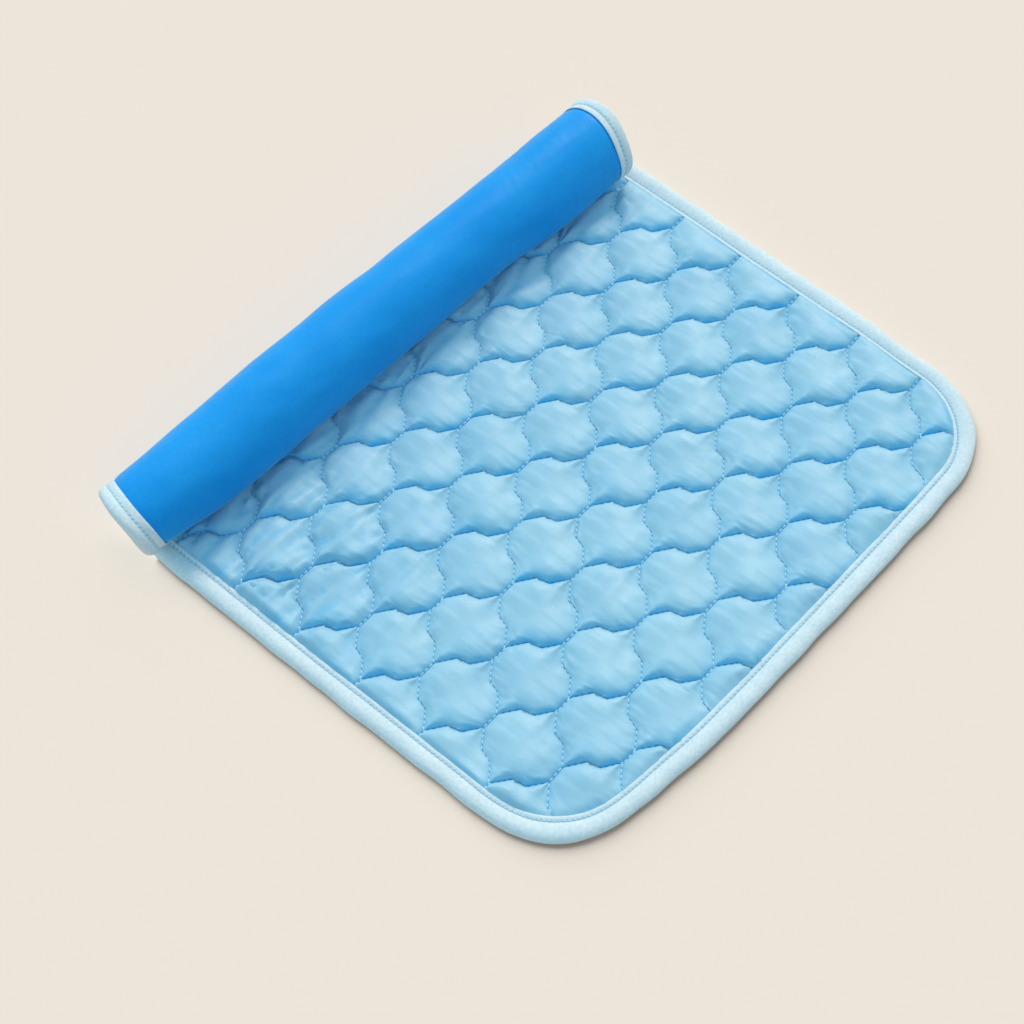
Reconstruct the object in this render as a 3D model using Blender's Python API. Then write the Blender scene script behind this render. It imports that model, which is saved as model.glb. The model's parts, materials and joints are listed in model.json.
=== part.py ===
"""Quilted cooling pad lying on a table, its far end rolled up with the backing outwards.

Metres, +Z up. X runs along the pad towards its free end, Y runs across it, and Z = 0 is the underside
of the flat part. A point of the pad is given by its distance p past the line where the roll begins
(negative on the flat part), its place y across the pad, and its height h above the underside of the
cloth. The rolled stretch is cut into segments, each turning the same angle, which hinge on lines
across the backing, so that the roll can open out flat.
"""
import math

import bmesh
import bpy

# The pad as it was cut and sewn
PAD_LENGTH = 0.500
PAD_WIDTH = 0.400
PAD_THICKNESS = 0.007
ROLLED_CORNER_RADIUS = 0.060
FRONT_LEFT_RADIUS = 0.075
FRONT_RIGHT_RADIUS = 0.060

# The pad as it lies
FREE_EDGE_X = 0.1728
ROLL_START_X = -0.1468
FLAT_LENGTH = FREE_EDGE_X - ROLL_START_X
SIDEWAYS_DRIFT = 0.0083
DRIFT_LENGTH = 0.100

# The roll: outer radii of its stretches and how many segments each stretch holds
SEGMENT_TURN = math.radians(45)
OUTER_RADIUS = 0.026
OUTER_SEGMENTS = 6
CLOSING_RADIUS = 0.0184
CLOSING_SEGMENTS = 2
TUCKED_SEGMENTS = 2
TUCKED_LENGTH = (
    PAD_LENGTH - FLAT_LENGTH
    - SEGMENT_TURN * (OUTER_SEGMENTS * OUTER_RADIUS + CLOSING_SEGMENTS * CLOSING_RADIUS)
)
TUCKED_RADIUS = TUCKED_LENGTH / (SEGMENT_TURN * TUCKED_SEGMENTS)
SEGMENT_RADII = (
    [OUTER_RADIUS] * OUTER_SEGMENTS
    + [CLOSING_RADIUS] * CLOSING_SEGMENTS
    + [TUCKED_RADIUS] * TUCKED_SEGMENTS
)
SEGMENT_COUNT = len(SEGMENT_RADII)
ROLLED_LENGTH = sum(radius * SEGMENT_TURN for radius in SEGMENT_RADII)

# Layers, from the underside up, as (lowest h, highest h, distance in from the pad's edge)
GAP = 0.0003
CLOTH = 0.0006
BINDING_WIDTH = 0.013
TUCK = CLOTH + GAP
BACKING = (0.0, CLOTH, BINDING_WIDTH + GAP)
TOP_COVER = (PAD_THICKNESS - 2 * CLOTH - GAP, PAD_THICKNESS - CLOTH - GAP, TUCK)
WADDING = (TUCK, TOP_COVER[0] - GAP, TUCK)
THREAD_WIDTH = 0.0012
THREAD = (TOP_COVER[1] + GAP, TOP_COVER[1] + 2 * GAP, BINDING_WIDTH + 0.003)

# Quilting: wavy rows of stitching across the pad, a row pitch apart, touching at every half wave
ROW_PITCH = 0.0235
HALF_WAVE = 0.0335
TOUCH_HALF_LENGTH = 0.006
QUILT_X = -0.0004
QUILT_Y = 0.0808

# How finely the curves are divided
ARC_STEPS = 6
END_STEPS = 10
LEG_STEPS = 6
CORNER_STEPS = 12

MATERIALS = {
    "cooling_cloth": ((0.28, 0.58, 0.83), 0.45),
    "wadding": ((0.86, 0.88, 0.90), 0.95),
    "satin": ((0.03, 0.31, 0.82), 0.38),
    "binding_cloth": ((0.60, 0.76, 0.85), 0.70),
    "thread": ((0.55, 0.80, 0.92), 0.50),
}


def clear_scene():
    for obj in list(bpy.data.objects):
        bpy.data.objects.remove(obj)


def material(name):
    if name in bpy.data.materials:
        return bpy.data.materials[name]
    colour, roughness = MATERIALS[name]
    made = bpy.data.materials.new(name)
    made.use_nodes = True
    shader = made.node_tree.nodes["Principled BSDF"]
    shader.inputs["Base Color"].default_value = (*colour, 1.0)
    shader.inputs["Roughness"].default_value = roughness
    shader.inputs["Metallic"].default_value = 0.0
    return made


def add_solid(name, vertices, faces, material_name, origin=(0.0, 0.0, 0.0)):
    """Makes one closed object whose origin is the given point."""
    mesh = bpy.data.meshes.new(name)
    local = [tuple(value - base for value, base in zip(vertex, origin)) for vertex in vertices]
    mesh.from_pydata(local, [], faces)
    shape = bmesh.new()
    shape.from_mesh(mesh)
    bmesh.ops.recalc_face_normals(shape, faces=shape.faces)
    shape.to_mesh(mesh)
    shape.free()
    mesh.set_sharp_from_angle(angle=math.radians(30))
    mesh.materials.append(material(material_name))
    obj = bpy.data.objects.new(name, mesh)
    obj.location = origin
    bpy.context.scene.collection.objects.link(obj)
    return obj


def loft(sections, caps):
    """Joins equal rings of points in turn, and closes both ends with the given cap faces."""
    count = len(sections[0])
    vertices = [point for section in sections for point in section]
    faces = []
    for row in range(len(sections) - 1):
        for i in range(count):
            j = (i + 1) % count
            low, high = row * count, (row + 1) * count
            faces.append((low + i, low + j, high + j, high + i))
    last = (len(sections) - 1) * count
    faces += [tuple(cap) for cap in caps]
    faces += [tuple(last + i for i in reversed(cap)) for cap in caps]
    return vertices, faces


# ---- the roll's curve ----

def inward(turned):
    """The direction from the backing to the top cover, in X and Z."""
    return math.sin(turned), math.cos(turned)


def curve_point(p, h):
    """Where the point p along the pad and h above its underside lies, in X and Z."""
    x, z = ROLL_START_X, 0.0
    if p <= 0:
        return x - p, h
    turned = 0.0
    for index, radius in enumerate(SEGMENT_RADII):
        length = radius * SEGMENT_TURN
        nx, nz = inward(turned)
        centre_x, centre_z = x + radius * nx, z + radius * nz
        last = index == SEGMENT_COUNT - 1
        step = p if last else min(p, length)
        nx, nz = inward(turned + step / radius)
        x, z = centre_x - radius * nx, centre_z - radius * nz
        if last or p <= length:
            return x + h * nx, z + h * nz
        p -= length
        turned += SEGMENT_TURN
    return x, z


def drift(p):
    """How far the roll has crept sideways at p."""
    share = min(max(p / DRIFT_LENGTH, 0.0), 1.0)
    return -SIDEWAYS_DRIFT * share * share * (3 - 2 * share)


def pad_point(p, y, h):
    x, z = curve_point(p, h)
    return x, y + drift(p), z


def half_width(p, inset):
    """Half the pad's width at p, measured this far in from the edge, with the rolled end's corners."""
    corner_start = ROLLED_LENGTH - ROLLED_CORNER_RADIUS
    straight = PAD_WIDTH / 2 - inset
    if p <= corner_start:
        return straight
    radius = ROLLED_CORNER_RADIUS - inset
    along = min(p - corner_start, radius)
    return PAD_WIDTH / 2 - ROLLED_CORNER_RADIUS + math.sqrt(radius * radius - along * along)


def segment_span(index):
    start = sum(radius * SEGMENT_TURN for radius in SEGMENT_RADII[:index])
    return start, start + SEGMENT_RADII[index] * SEGMENT_TURN


def rows_between(start, end, inset=0.0, steps=ARC_STEPS):
    """Places along the pad, closer together where the rolled end's corner turns fast."""
    corner_start = ROLLED_LENGTH - ROLLED_CORNER_RADIUS
    radius = ROLLED_CORNER_RADIUS - inset
    if start < corner_start:
        return [start + (end - start) * i / steps for i in range(steps + 1)]
    first = math.asin((start - corner_start) / radius)
    last = math.asin(min((end - corner_start) / radius, 1.0))
    turns = [first + (last - first) * i / steps for i in range(steps + 1)]
    return [corner_start + radius * math.sin(turn) for turn in turns]


# ---- the rolled segments ----

SLAB_CAP = ((3, 2, 1, 0),)


def slab_segment(name, index, layer, material_name, origin):
    """One segment's stretch of a layer: a curved slab as wide as the pad."""
    low, high, inset = layer
    start, end = segment_span(index)
    last = index == SEGMENT_COUNT - 1
    end = end - inset if last else end - GAP / 2
    sections = []
    for p in rows_between(start + GAP / 2, end, inset, END_STEPS if last else ARC_STEPS):
        width = half_width(p, inset)
        ring = ((-width, low), (width, low), (width, high), (-width, high))
        sections.append([pad_point(p, y, h) for y, h in ring])
    vertices, faces = loft(sections, SLAB_CAP)
    return add_solid(name, vertices, faces, material_name, origin)


def channel_ring(leg_steps=1):
    """The binding's folded section, as (distance in from the edge, h) pairs, and its cap faces."""
    top = PAD_THICKNESS
    insets = [0.0, CLOTH]
    insets += [CLOTH + (BINDING_WIDTH - CLOTH) * i / leg_steps for i in range(1, leg_steps + 1)]
    inner = list(reversed(insets[1:]))
    ring = [(inset, 0.0) for inset in insets]
    ring += [(inset, CLOTH) for inset in inner]
    ring += [(inset, top - CLOTH) for inset in insets[1:]]
    ring += [(inset, top) for inset in reversed(insets)]
    count = len(ring)
    last = len(insets) - 1
    caps = []
    for i in range(1, last):
        caps.append((i, i + 1, 2 * last - i, 2 * last + 1 - i))
        upper = 2 * last + i
        caps.append((upper, upper + 1, count - 2 - i, count - 1 - i))
    caps.append((0, 1, 2 * last, 2 * last + 1, count - 2, count - 1))
    return ring, [tuple(reversed(cap)) for cap in caps]


def binding_segment(name, index, side, origin):
    """The binding along one side of a rolled segment."""
    start, end = segment_span(index)
    ring, caps = channel_ring()
    sections = []
    for p in rows_between(start + GAP / 2, end - GAP / 2):
        sections.append([pad_point(p, side * half_width(p, inset), h) for inset, h in ring])
    vertices, faces = loft(sections, caps)
    return add_solid(name, vertices, faces, "binding_cloth", origin)


def end_binding(name, origin):
    """The binding round the pad's rolled end, from one side to the other."""
    start = segment_span(SEGMENT_COUNT - 1)[0] + GAP / 2
    corner_p = ROLLED_LENGTH - ROLLED_CORNER_RADIUS
    corner_y = PAD_WIDTH / 2 - ROLLED_CORNER_RADIUS

    def place(inset, share):
        radius = ROLLED_CORNER_RADIUS - inset
        first = math.asin((start - corner_p) / radius)
        angle = first + (math.pi / 2 - first) * share
        return corner_p + radius * math.sin(angle), corner_y + radius * math.cos(angle)

    ring, caps = channel_ring(LEG_STEPS)
    sections = []
    for side in (-1, 1):
        shares = [i / END_STEPS for i in range(END_STEPS + 1)]
        for share in shares if side < 0 else reversed(shares):
            section = []
            for inset, h in ring:
                p, y = place(inset, share)
                section.append(pad_point(p, side * y, h))
            sections.append(section)
    vertices, faces = loft(sections, caps)
    return add_solid(name, vertices, faces, "binding_cloth", origin)


def rolled_segment(index):
    """All the pieces of one rolled segment, with their origin on its hinge line."""
    number = index + 1
    x, z = curve_point(segment_span(index)[0], 0.0)
    origin = (x, 0.0, z)
    slab_segment(f"backing_roll_{number}", index, BACKING, "satin", origin)
    slab_segment(f"wadding_roll_{number}", index, WADDING, "wadding", origin)
    slab_segment(f"top_cover_roll_{number}", index, TOP_COVER, "cooling_cloth", origin)
    if index == SEGMENT_COUNT - 1:
        end_binding("binding_rolled_end", origin)
        return
    binding_segment(f"binding_left_roll_{number}", index, -1, origin)
    binding_segment(f"binding_right_roll_{number}", index, 1, origin)


# ---- the flat part ----

def flat_stations(back_x):
    """The pad's flat outline as (x, y, inward x, inward y), from the left side round to the right."""
    stations = [(back_x, -PAD_WIDTH / 2, 0.0, 1.0)]
    corners = ((-1, FRONT_LEFT_RADIUS), (1, FRONT_RIGHT_RADIUS))
    for side, radius in corners:
        centre_x, centre_y = FREE_EDGE_X - radius, side * (PAD_WIDTH / 2 - radius)
        turns = [math.pi / 2 * i / CORNER_STEPS for i in range(CORNER_STEPS + 1)]
        for turn in turns if side < 0 else reversed(turns):
            out_x, out_y = math.sin(turn), side * math.cos(turn)
            stations.append((centre_x + radius * out_x, centre_y + radius * out_y, -out_x, -out_y))
    stations.append((back_x, PAD_WIDTH / 2, 0.0, -1.0))
    return stations


def flat_slab(name, layer, material_name):
    low, high, inset = layer
    outline = []
    for x, y, in_x, in_y in flat_stations(ROLL_START_X + GAP / 2):
        outline.append((x + inset * in_x, y + inset * in_y))
    count = len(outline)
    vertices = [(x, y, low) for x, y in outline] + [(x, y, high) for x, y in outline]
    faces = [tuple(reversed(range(count))), tuple(range(count, 2 * count))]
    faces += [(i, (i + 1) % count, count + (i + 1) % count, count + i) for i in range(count)]
    return add_solid(name, vertices, faces, material_name)


def flat_binding(name):
    ring, caps = channel_ring()
    sections = []
    for x, y, in_x, in_y in flat_stations(ROLL_START_X + GAP / 2):
        sections.append([(x + inset * in_x, y + inset * in_y, h) for inset, h in ring])
    vertices, faces = loft(sections, caps)
    return add_solid(name, vertices, faces, "binding_cloth")


def stitchable_half_width(x, side):
    """How far from the centre line the quilting reaches at x, clear of the binding."""
    inset = THREAD[2]
    radius = FRONT_LEFT_RADIUS if side < 0 else FRONT_RIGHT_RADIUS
    along = max(x - (FREE_EDGE_X - radius), 0.0)
    inner = radius - inset
    if along <= 0.0:
        return PAD_WIDTH / 2 - inset
    if along >= inner:
        return 0.0
    return PAD_WIDTH / 2 - radius + math.sqrt(inner * inner - along * along)


def quilting_net(name):
    """The quilting thread's rows, joined where they touch, as one flat net on the top cover."""
    low, high, inset = THREAD
    first_row = math.ceil((ROLL_START_X + inset / 2 - QUILT_X) / ROW_PITCH)
    last_row = math.floor((FREE_EDGE_X - inset - QUILT_X) / ROW_PITCH) - 1
    half = THREAD_WIDTH / 2
    vertices = []
    index_of = {}
    quads = []

    def vertex(row_line, level, part):
        """The vertex at one of three places across a meeting of rows: -1, 0 or 1."""
        key = (row_line, level, part)
        if key not in index_of:
            x = QUILT_X + row_line * ROW_PITCH + part * half
            y = QUILT_Y + level[0] * HALF_WAVE + level[1] * TOUCH_HALF_LENGTH
            index_of[key] = len(vertices)
            vertices.append((x, y))
        return index_of[key]

    def ends(row, node):
        """Which lattice column a row's wave leans to at this half wave, and its two edge places."""
        leans_up = (row + node) % 2 == 1
        return (row + 1, (-1, 0)) if leans_up else (row, (0, 1))

    for row in range(first_row, last_row + 1):
        x_far = QUILT_X + (row + 1) * ROW_PITCH
        low_y, high_y = -stitchable_half_width(x_far, -1), stitchable_half_width(x_far, 1)
        first = math.ceil((low_y + TOUCH_HALF_LENGTH - QUILT_Y) / HALF_WAVE)
        last = math.floor((high_y - TOUCH_HALF_LENGTH - QUILT_Y) / HALF_WAVE)
        levels = [(node, end) for node in range(first, last + 1) for end in (-1, 1)]
        for before, after in zip(levels, levels[1:]):
            corner = []
            for level in (before, after):
                column, parts = ends(row, level[0])
                corner.append([vertex(column, level, part) for part in parts])
            quads.append((corner[0][0], corner[0][1], corner[1][1], corner[1][0]))

    edge_uses = {}
    for quad in quads:
        for i in range(4):
            edge = (quad[i], quad[(i + 1) % 4])
            edge_uses[edge] = edge_uses.get(edge, 0) + 1
    count = len(vertices)
    solid_vertices = [(x, y, low) for x, y in vertices] + [(x, y, high) for x, y in vertices]
    faces = [tuple(reversed(quad)) for quad in quads]
    faces += [tuple(count + i for i in quad) for quad in quads]
    faces += [
        (a, b, count + b, count + a)
        for a, b in edge_uses
        if (b, a) not in edge_uses
    ]
    return add_solid(name, solid_vertices, faces, "thread")


def flat_part():
    flat_slab("backing", BACKING, "satin")
    flat_slab("wadding", WADDING, "wadding")
    flat_slab("top_cover", TOP_COVER, "cooling_cloth")
    flat_binding("binding")
    quilting_net("quilting_thread")


def main():
    clear_scene()
    flat_part()
    for index in range(SEGMENT_COUNT):
        rolled_segment(index)


main()
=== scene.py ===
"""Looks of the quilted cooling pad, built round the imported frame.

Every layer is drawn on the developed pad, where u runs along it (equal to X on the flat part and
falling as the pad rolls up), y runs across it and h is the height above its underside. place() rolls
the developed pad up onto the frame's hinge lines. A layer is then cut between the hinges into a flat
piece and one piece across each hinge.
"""
import json
import math

import bpy
import numpy as np
from mathutils import Matrix, Vector


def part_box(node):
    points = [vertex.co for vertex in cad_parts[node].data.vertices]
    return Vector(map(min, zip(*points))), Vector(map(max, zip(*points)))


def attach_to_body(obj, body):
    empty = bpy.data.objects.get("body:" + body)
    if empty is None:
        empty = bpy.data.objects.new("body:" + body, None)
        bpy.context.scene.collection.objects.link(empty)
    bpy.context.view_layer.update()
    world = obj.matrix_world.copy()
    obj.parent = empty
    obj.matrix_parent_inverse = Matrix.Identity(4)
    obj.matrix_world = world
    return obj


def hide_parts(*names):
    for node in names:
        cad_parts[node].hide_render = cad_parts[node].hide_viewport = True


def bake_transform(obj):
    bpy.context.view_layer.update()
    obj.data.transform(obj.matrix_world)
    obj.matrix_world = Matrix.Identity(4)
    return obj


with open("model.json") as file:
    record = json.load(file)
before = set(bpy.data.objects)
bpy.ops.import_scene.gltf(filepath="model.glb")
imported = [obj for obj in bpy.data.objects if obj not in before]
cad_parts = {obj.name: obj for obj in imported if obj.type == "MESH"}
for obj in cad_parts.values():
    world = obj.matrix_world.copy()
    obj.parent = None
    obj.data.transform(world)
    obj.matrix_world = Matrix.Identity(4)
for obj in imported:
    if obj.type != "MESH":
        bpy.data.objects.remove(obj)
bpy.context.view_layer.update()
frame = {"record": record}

MM = 0.001

# ---- the frame's measures ----
JOINTS = frame["record"]["behaviour"]["joints"]
SEGMENTS = len(JOINTS)
TURN = math.radians(JOINTS[1]["range_deg"][1])
HINGES = np.array([[joint["pos_m"][0], joint["pos_m"][2]] for joint in JOINTS])
CHORDS = np.linalg.norm(np.diff(HINGES, axis=0), axis=1)
RADII = CHORDS / (2 * math.sin(TURN / 2))
RADII = np.append(RADII, RADII[-1])
STARTS = np.concatenate([[0.0], np.cumsum(RADII * TURN)])
ROLL_START = HINGES[0][0]
ROLLED_LENGTH = STARTS[-1]
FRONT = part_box("binding")[1][0]
BACK = ROLL_START - ROLLED_LENGTH
HALF_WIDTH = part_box("binding")[1][1]
DRIFT = sum(corner[1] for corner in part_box("binding_rolled_end")) / 2
DRIFT_LENGTH = 100 * MM

# ---- the outline ----
FRONT_LEFT_RADIUS = 75 * MM
FRONT_RIGHT_RADIUS = 60 * MM
ROLLED_CORNER_RADIUS = 60 * MM
BINDING_REACH = 13.2 * MM
TAPER_AT_ROLL = 0.010
TAPER_AT_FRONT = -0.0075
# How far the outline wanders outwards, by the distance round it from the roll's left end, both in mm
OUTLINE_WANDER = [
    (0, 0.9), (125, 1.0), (165, 0), (210, -0.6), (245, -1.2), (262, 0), (284, 3.2), (310, 3.4),
    (325, 1.5), (345, -2.0), (360, -2.2), (385, 0.6), (402, 2.4), (447, 3.3), (600, 3.6), (627, 2.9),
    (654, 0.6), (680, -1), (720, -1.5), (740, -0.6), (765, 1.4), (820, 2), (860, 2.8), (900, 4.2),
    (985, 5),
]
WANDER_DEPTH = 45 * MM
WANDER_FADE = 30 * MM
TAPER_FADE = 60 * MM

# ---- the quilting: rows of waves across the pad, lattice steps along it and across it ----
LATTICE_ORIGIN = np.array([-0.4, 80.84]) * MM
LATTICE_ALONG = np.array([23.516, -0.236]) * MM
LATTICE_ACROSS = np.array([-0.965, 33.503]) * MM
LATTICE_INVERSE = np.linalg.inv(np.array([LATTICE_ALONG, LATTICE_ACROSS]).T)
WAVE_HALF = 0.488
WAVE_T = [0.0, 0.165, 0.465, 0.535, 0.835, 1.0]
WAVE_W = [0.0, 0.0, 0.323, 0.677, 1.0, 1.0]
WAVE_ROWS = [4, 8, 2, 8, 4]
STITCH_PITCH = 3.5 * MM

# ---- heights of the layers ----
SEAM_HEIGHT = 3.2 * MM
EDGE_HEIGHT = 4.2 * MM
LIP_RISE = 3.1 * MM
LIP_REACH = 1.3 * MM
DOME_RISE = 2.6 * MM
DOME_REACH = 7 * MM
ROLLED_RELIEF = 0.55
FOLD_RISE = 2.3 * MM
SWELL_RISE = 0.35 * MM
PUCKER_SPACING = 5.6 * MM
PUCKER_RISE = 0.5 * MM
PUCKER_REACH = 4.5 * MM
PUCKER_START = 1.4 * MM
THICKNESS = 7 * MM
HELD_EDGE = 12.8 * MM
CLOTH_INSET = 5 * MM
WADDING_INSET = 6 * MM

# ---- the flat part that the cloth simulation covers ----
RELIEF_STEP = 2.0 * MM
RELIEF_FRONT = 0.165
RELIEF_SIDE = 0.190
RELIEF_SEAM = 1.1 * MM
RELIEF_FRAMES = 24
RELIEF_SHARE = 0.40
CLOTH_SETTINGS = {
    "quality": 4, "mass": 0.05, "air_damping": 3, "tension_stiffness": 20, "compression_stiffness": 20,
    "shear_stiffness": 8, "bending_stiffness": 2.5, "vertex_group_mass": "held",
    "shrink_min": -0.022, "shrink_max": -0.022, "use_pressure": True, "uniform_pressure_force": 45,
}

# Where the layers are cut, as distances round the roll from hinge 1; the first cut is on the flat part
CUTS = [-10 * MM]
CUTS += [(STARTS[i] + STARTS[i + 1]) / 2 for i in range(SEGMENTS)]
PIECE_COUNT = SEGMENTS + 1


def smooth(x):
    x = np.clip(x, 0.0, 1.0)
    return x * x * (3 - 2 * x)


def ramp(x, start, run):
    """Rises smoothly from 0 at start to 1 after this run, both in millimetres."""
    return smooth((x - start * MM) / (run * MM))


def noise_field(seed, count, shortest, longest):
    """A smooth random field of u and y, as a sum of plane waves, about -1 to 1."""
    rng = np.random.default_rng(seed)
    lengths = shortest * (longest / shortest) ** rng.random(count)
    angles = rng.random(count) * 2 * math.pi
    phases = rng.random(count) * 2 * math.pi

    def field(u, y):
        total = np.zeros(np.shape(u))
        for length, angle, phase in zip(lengths, angles, phases):
            along = (u * math.cos(angle) + y * math.sin(angle)) / length
            total += np.sin(2 * math.pi * along + phase)
        return total / math.sqrt(count)

    return field


def smoothed_table(pairs, spacing, reach):
    """A smooth curve through (place, value) pairs given in millimetres."""
    places, values = np.array(pairs, float).T * MM
    fine = np.arange(places[0], places[-1] + spacing, spacing)
    drawn = np.interp(fine, places, values)
    width = int(3 * reach / spacing)
    kernel = np.exp(-0.5 * (np.arange(-width, width + 1) * spacing / reach) ** 2)
    drawn = np.convolve(np.pad(drawn, width, mode="edge"), kernel / kernel.sum(), mode="valid")
    return fine, drawn


WANDER_AT, WANDER = smoothed_table(OUTLINE_WANDER, spacing=2 * MM, reach=7 * MM)


# ---- rolling the developed pad up ----

def wander(u, y):
    """How far the points near the flat part's outline are moved along u and y."""
    from_front, from_side = FRONT - u, HALF_WIDTH - np.abs(y)
    radius = np.where(y < 0, FRONT_LEFT_RADIUS, FRONT_RIGHT_RADIUS)
    left_run = FRONT - FRONT_LEFT_RADIUS - ROLL_START
    front_start = left_run + FRONT_LEFT_RADIUS * math.pi / 2
    front_end = front_start + 2 * HALF_WIDTH - FRONT_LEFT_RADIUS - FRONT_RIGHT_RADIUS
    right_run = front_end + FRONT_RIGHT_RADIUS * math.pi / 2
    in_corner = (from_front < radius) & (from_side < radius)
    turn = np.arctan2(np.maximum(radius - from_front, 0), np.maximum(radius - from_side, 1e-9))
    at_side = ~in_corner & (from_side < from_front)
    run = np.where(y < 0, u - ROLL_START, right_run + FRONT - FRONT_RIGHT_RADIUS - u)
    run = np.where(~in_corner & ~at_side, front_start + y + HALF_WIDTH - FRONT_LEFT_RADIUS, run)
    corner_run = np.where(y < 0, left_run + turn * radius, right_run - turn * radius)
    run = np.where(in_corner, corner_run, run)
    out_u = np.where(in_corner, np.sin(turn), np.where(at_side, 0.0, 1.0))
    out_y = np.where(in_corner, np.cos(turn), np.where(at_side, 1.0, 0.0)) * np.sign(y)
    inset = np.where(in_corner, radius - np.hypot(radius - from_front, radius - from_side),
                     np.minimum(from_front, from_side))
    amount = np.interp(run, WANDER_AT, WANDER) * (1 - smooth(inset / WANDER_DEPTH))
    amount = amount * smooth((u - ROLL_START + WANDER_FADE) / WANDER_FADE)
    return amount * out_u, amount * out_y


def hump(x, centre, reach):
    return np.exp(-((x - centre) / reach) ** 2)


def end_swell(p, y, rise, centre, reach, start, run):
    """A swelling at a place round the roll that grows towards one of its ends, in millimetres."""
    return rise * MM * hump(p, centre * MM, reach * MM) * ramp(y, start, run)


def roll_swell(p, y):
    """How far the soft roll stands out from its round shape: behind its middle and low down at its
    right end, and inwards low down at its left end."""
    behind = 3.1 * MM * hump(p, 58 * MM, 30 * MM) * hump(y, -70 * MM, 120 * MM)
    low = end_swell(p, y, rise=4.6, centre=128, reach=14, start=80, run=60)
    drawn_in = end_swell(p, -y, rise=-6.0, centre=134, reach=26, start=135, run=60)
    return (behind + low + drawn_in) * (p > 0)


def end_bulge(p, y):
    """How far the roll's ends stand out sideways, most at the top of its outer turn."""
    left = end_swell(p, -y, rise=-8.5, centre=92, reach=38, start=120, run=70)
    right = end_swell(p, y, rise=5.5, centre=82, reach=36, start=120, run=70)
    return (left + right) * (p > 0)


def place(u, y, h):
    """The row-frame points of developed points."""
    p = ROLL_START - u
    move_u, move_y = wander(u, y)
    swell = roll_swell(p, y)
    x, z = u + move_u, h.copy()
    for i in range(SEGMENTS):
        inside = p > STARTS[i]
        turned = i * TURN
        centre_x = HINGES[i][0] + RADII[i] * math.sin(turned)
        centre_z = HINGES[i][1] + RADII[i] * math.cos(turned)
        angle = turned + (p[inside] - STARTS[i]) / RADII[i]
        reach = RADII[i] - h[inside] + swell[inside]
        x[inside] = centre_x - reach * np.sin(angle)
        z[inside] = centre_z - reach * np.cos(angle)
    on_flat = np.clip((u - ROLL_START) / (FRONT - ROLL_START), 0, 1)
    taper = TAPER_AT_ROLL + (TAPER_AT_FRONT - TAPER_AT_ROLL) * on_flat
    taper = np.where(p > 0, TAPER_AT_ROLL * (1 - smooth(p / TAPER_FADE)), taper)
    across = y * (1 + taper) + move_y + end_bulge(p, y)
    across += DRIFT * smooth(p / DRIFT_LENGTH)
    return np.stack([x, across, z], axis=-1)


def edge_distance(u, y):
    """How far in from the pad's outline, with its rounded corners."""
    at_front = u > (FRONT + BACK) / 2
    from_end = np.where(at_front, FRONT - u, u - BACK)
    from_side = HALF_WIDTH - np.abs(y)
    front_radius = np.where(y < 0, FRONT_LEFT_RADIUS, FRONT_RIGHT_RADIUS)
    radius = np.where(at_front, front_radius, ROLLED_CORNER_RADIUS)
    in_corner = (from_end < radius) & (from_side < radius)
    rounded = radius - np.hypot(radius - from_end, radius - from_side)
    return np.where(in_corner, rounded, np.minimum(from_end, from_side))


def side_reach(u, side, inset):
    """The distance from the centre line to the outline at u, this far in from the edge."""
    at_front = u > (FRONT + BACK) / 2
    front_radius = FRONT_LEFT_RADIUS if side < 0 else FRONT_RIGHT_RADIUS
    radius = np.where(at_front, front_radius, ROLLED_CORNER_RADIUS)
    from_end = np.where(at_front, FRONT - u, u - BACK)
    inner = radius - inset
    along = np.clip(radius - from_end, 0, inner)
    return HALF_WIDTH - radius + np.sqrt(np.maximum(inner ** 2 - along ** 2, 0))


# ---- quilting lines ----

def lattice_point(a, b):
    u = LATTICE_ORIGIN[0] + a * LATTICE_ALONG[0] + b * LATTICE_ACROSS[0]
    y = LATTICE_ORIGIN[1] + a * LATTICE_ALONG[1] + b * LATTICE_ACROSS[1]
    return u, y


def lattice_place(u, y):
    du, dy = u - LATTICE_ORIGIN[0], y - LATTICE_ORIGIN[1]
    a = LATTICE_INVERSE[0, 0] * du + LATTICE_INVERSE[0, 1] * dy
    b = LATTICE_INVERSE[1, 0] * du + LATTICE_INVERSE[1, 1] * dy
    return a, b


def wave_line(k, b):
    """Where quilting line k runs at b, as a lattice coordinate a."""
    cell = np.floor(b)
    swing = 1 - 2 * np.interp(b - cell, WAVE_T, WAVE_W)
    swing = np.where(cell % 2 == 0, swing, -swing)
    sign = np.where(k % 2 != 0, 1.0, -1.0)
    return k + 0.5 + WAVE_HALF * sign * swing


def seam_distance(u, y):
    a, b = lattice_place(u, y)
    along, across = np.linalg.norm(LATTICE_ALONG), np.linalg.norm(LATTICE_ACROSS)
    nearest = np.full(np.shape(u), 1.0)
    base = np.floor(a)
    for offset in (-2, -1, 0, 1):
        line = base + offset
        for step in np.linspace(-0.35, 0.35, 29):
            gap = wave_line(line, b + step) - a
            nearest = np.minimum(nearest, np.hypot(gap * along, step * across))
    return nearest


def wave_rows():
    """The rows' b values across the pad, with one on every corner of the waves."""
    low = math.floor(lattice_place(0.0, -HALF_WIDTH)[1])
    high = math.ceil(lattice_place(0.0, HALF_WIDTH)[1])
    rows = []
    for cell in range(low, high):
        for i, count in enumerate(WAVE_ROWS):
            start, end = WAVE_T[i], WAVE_T[i + 1]
            rows += [cell + start + (end - start) * j / count for j in range(count)]
    return np.array(rows)


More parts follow.
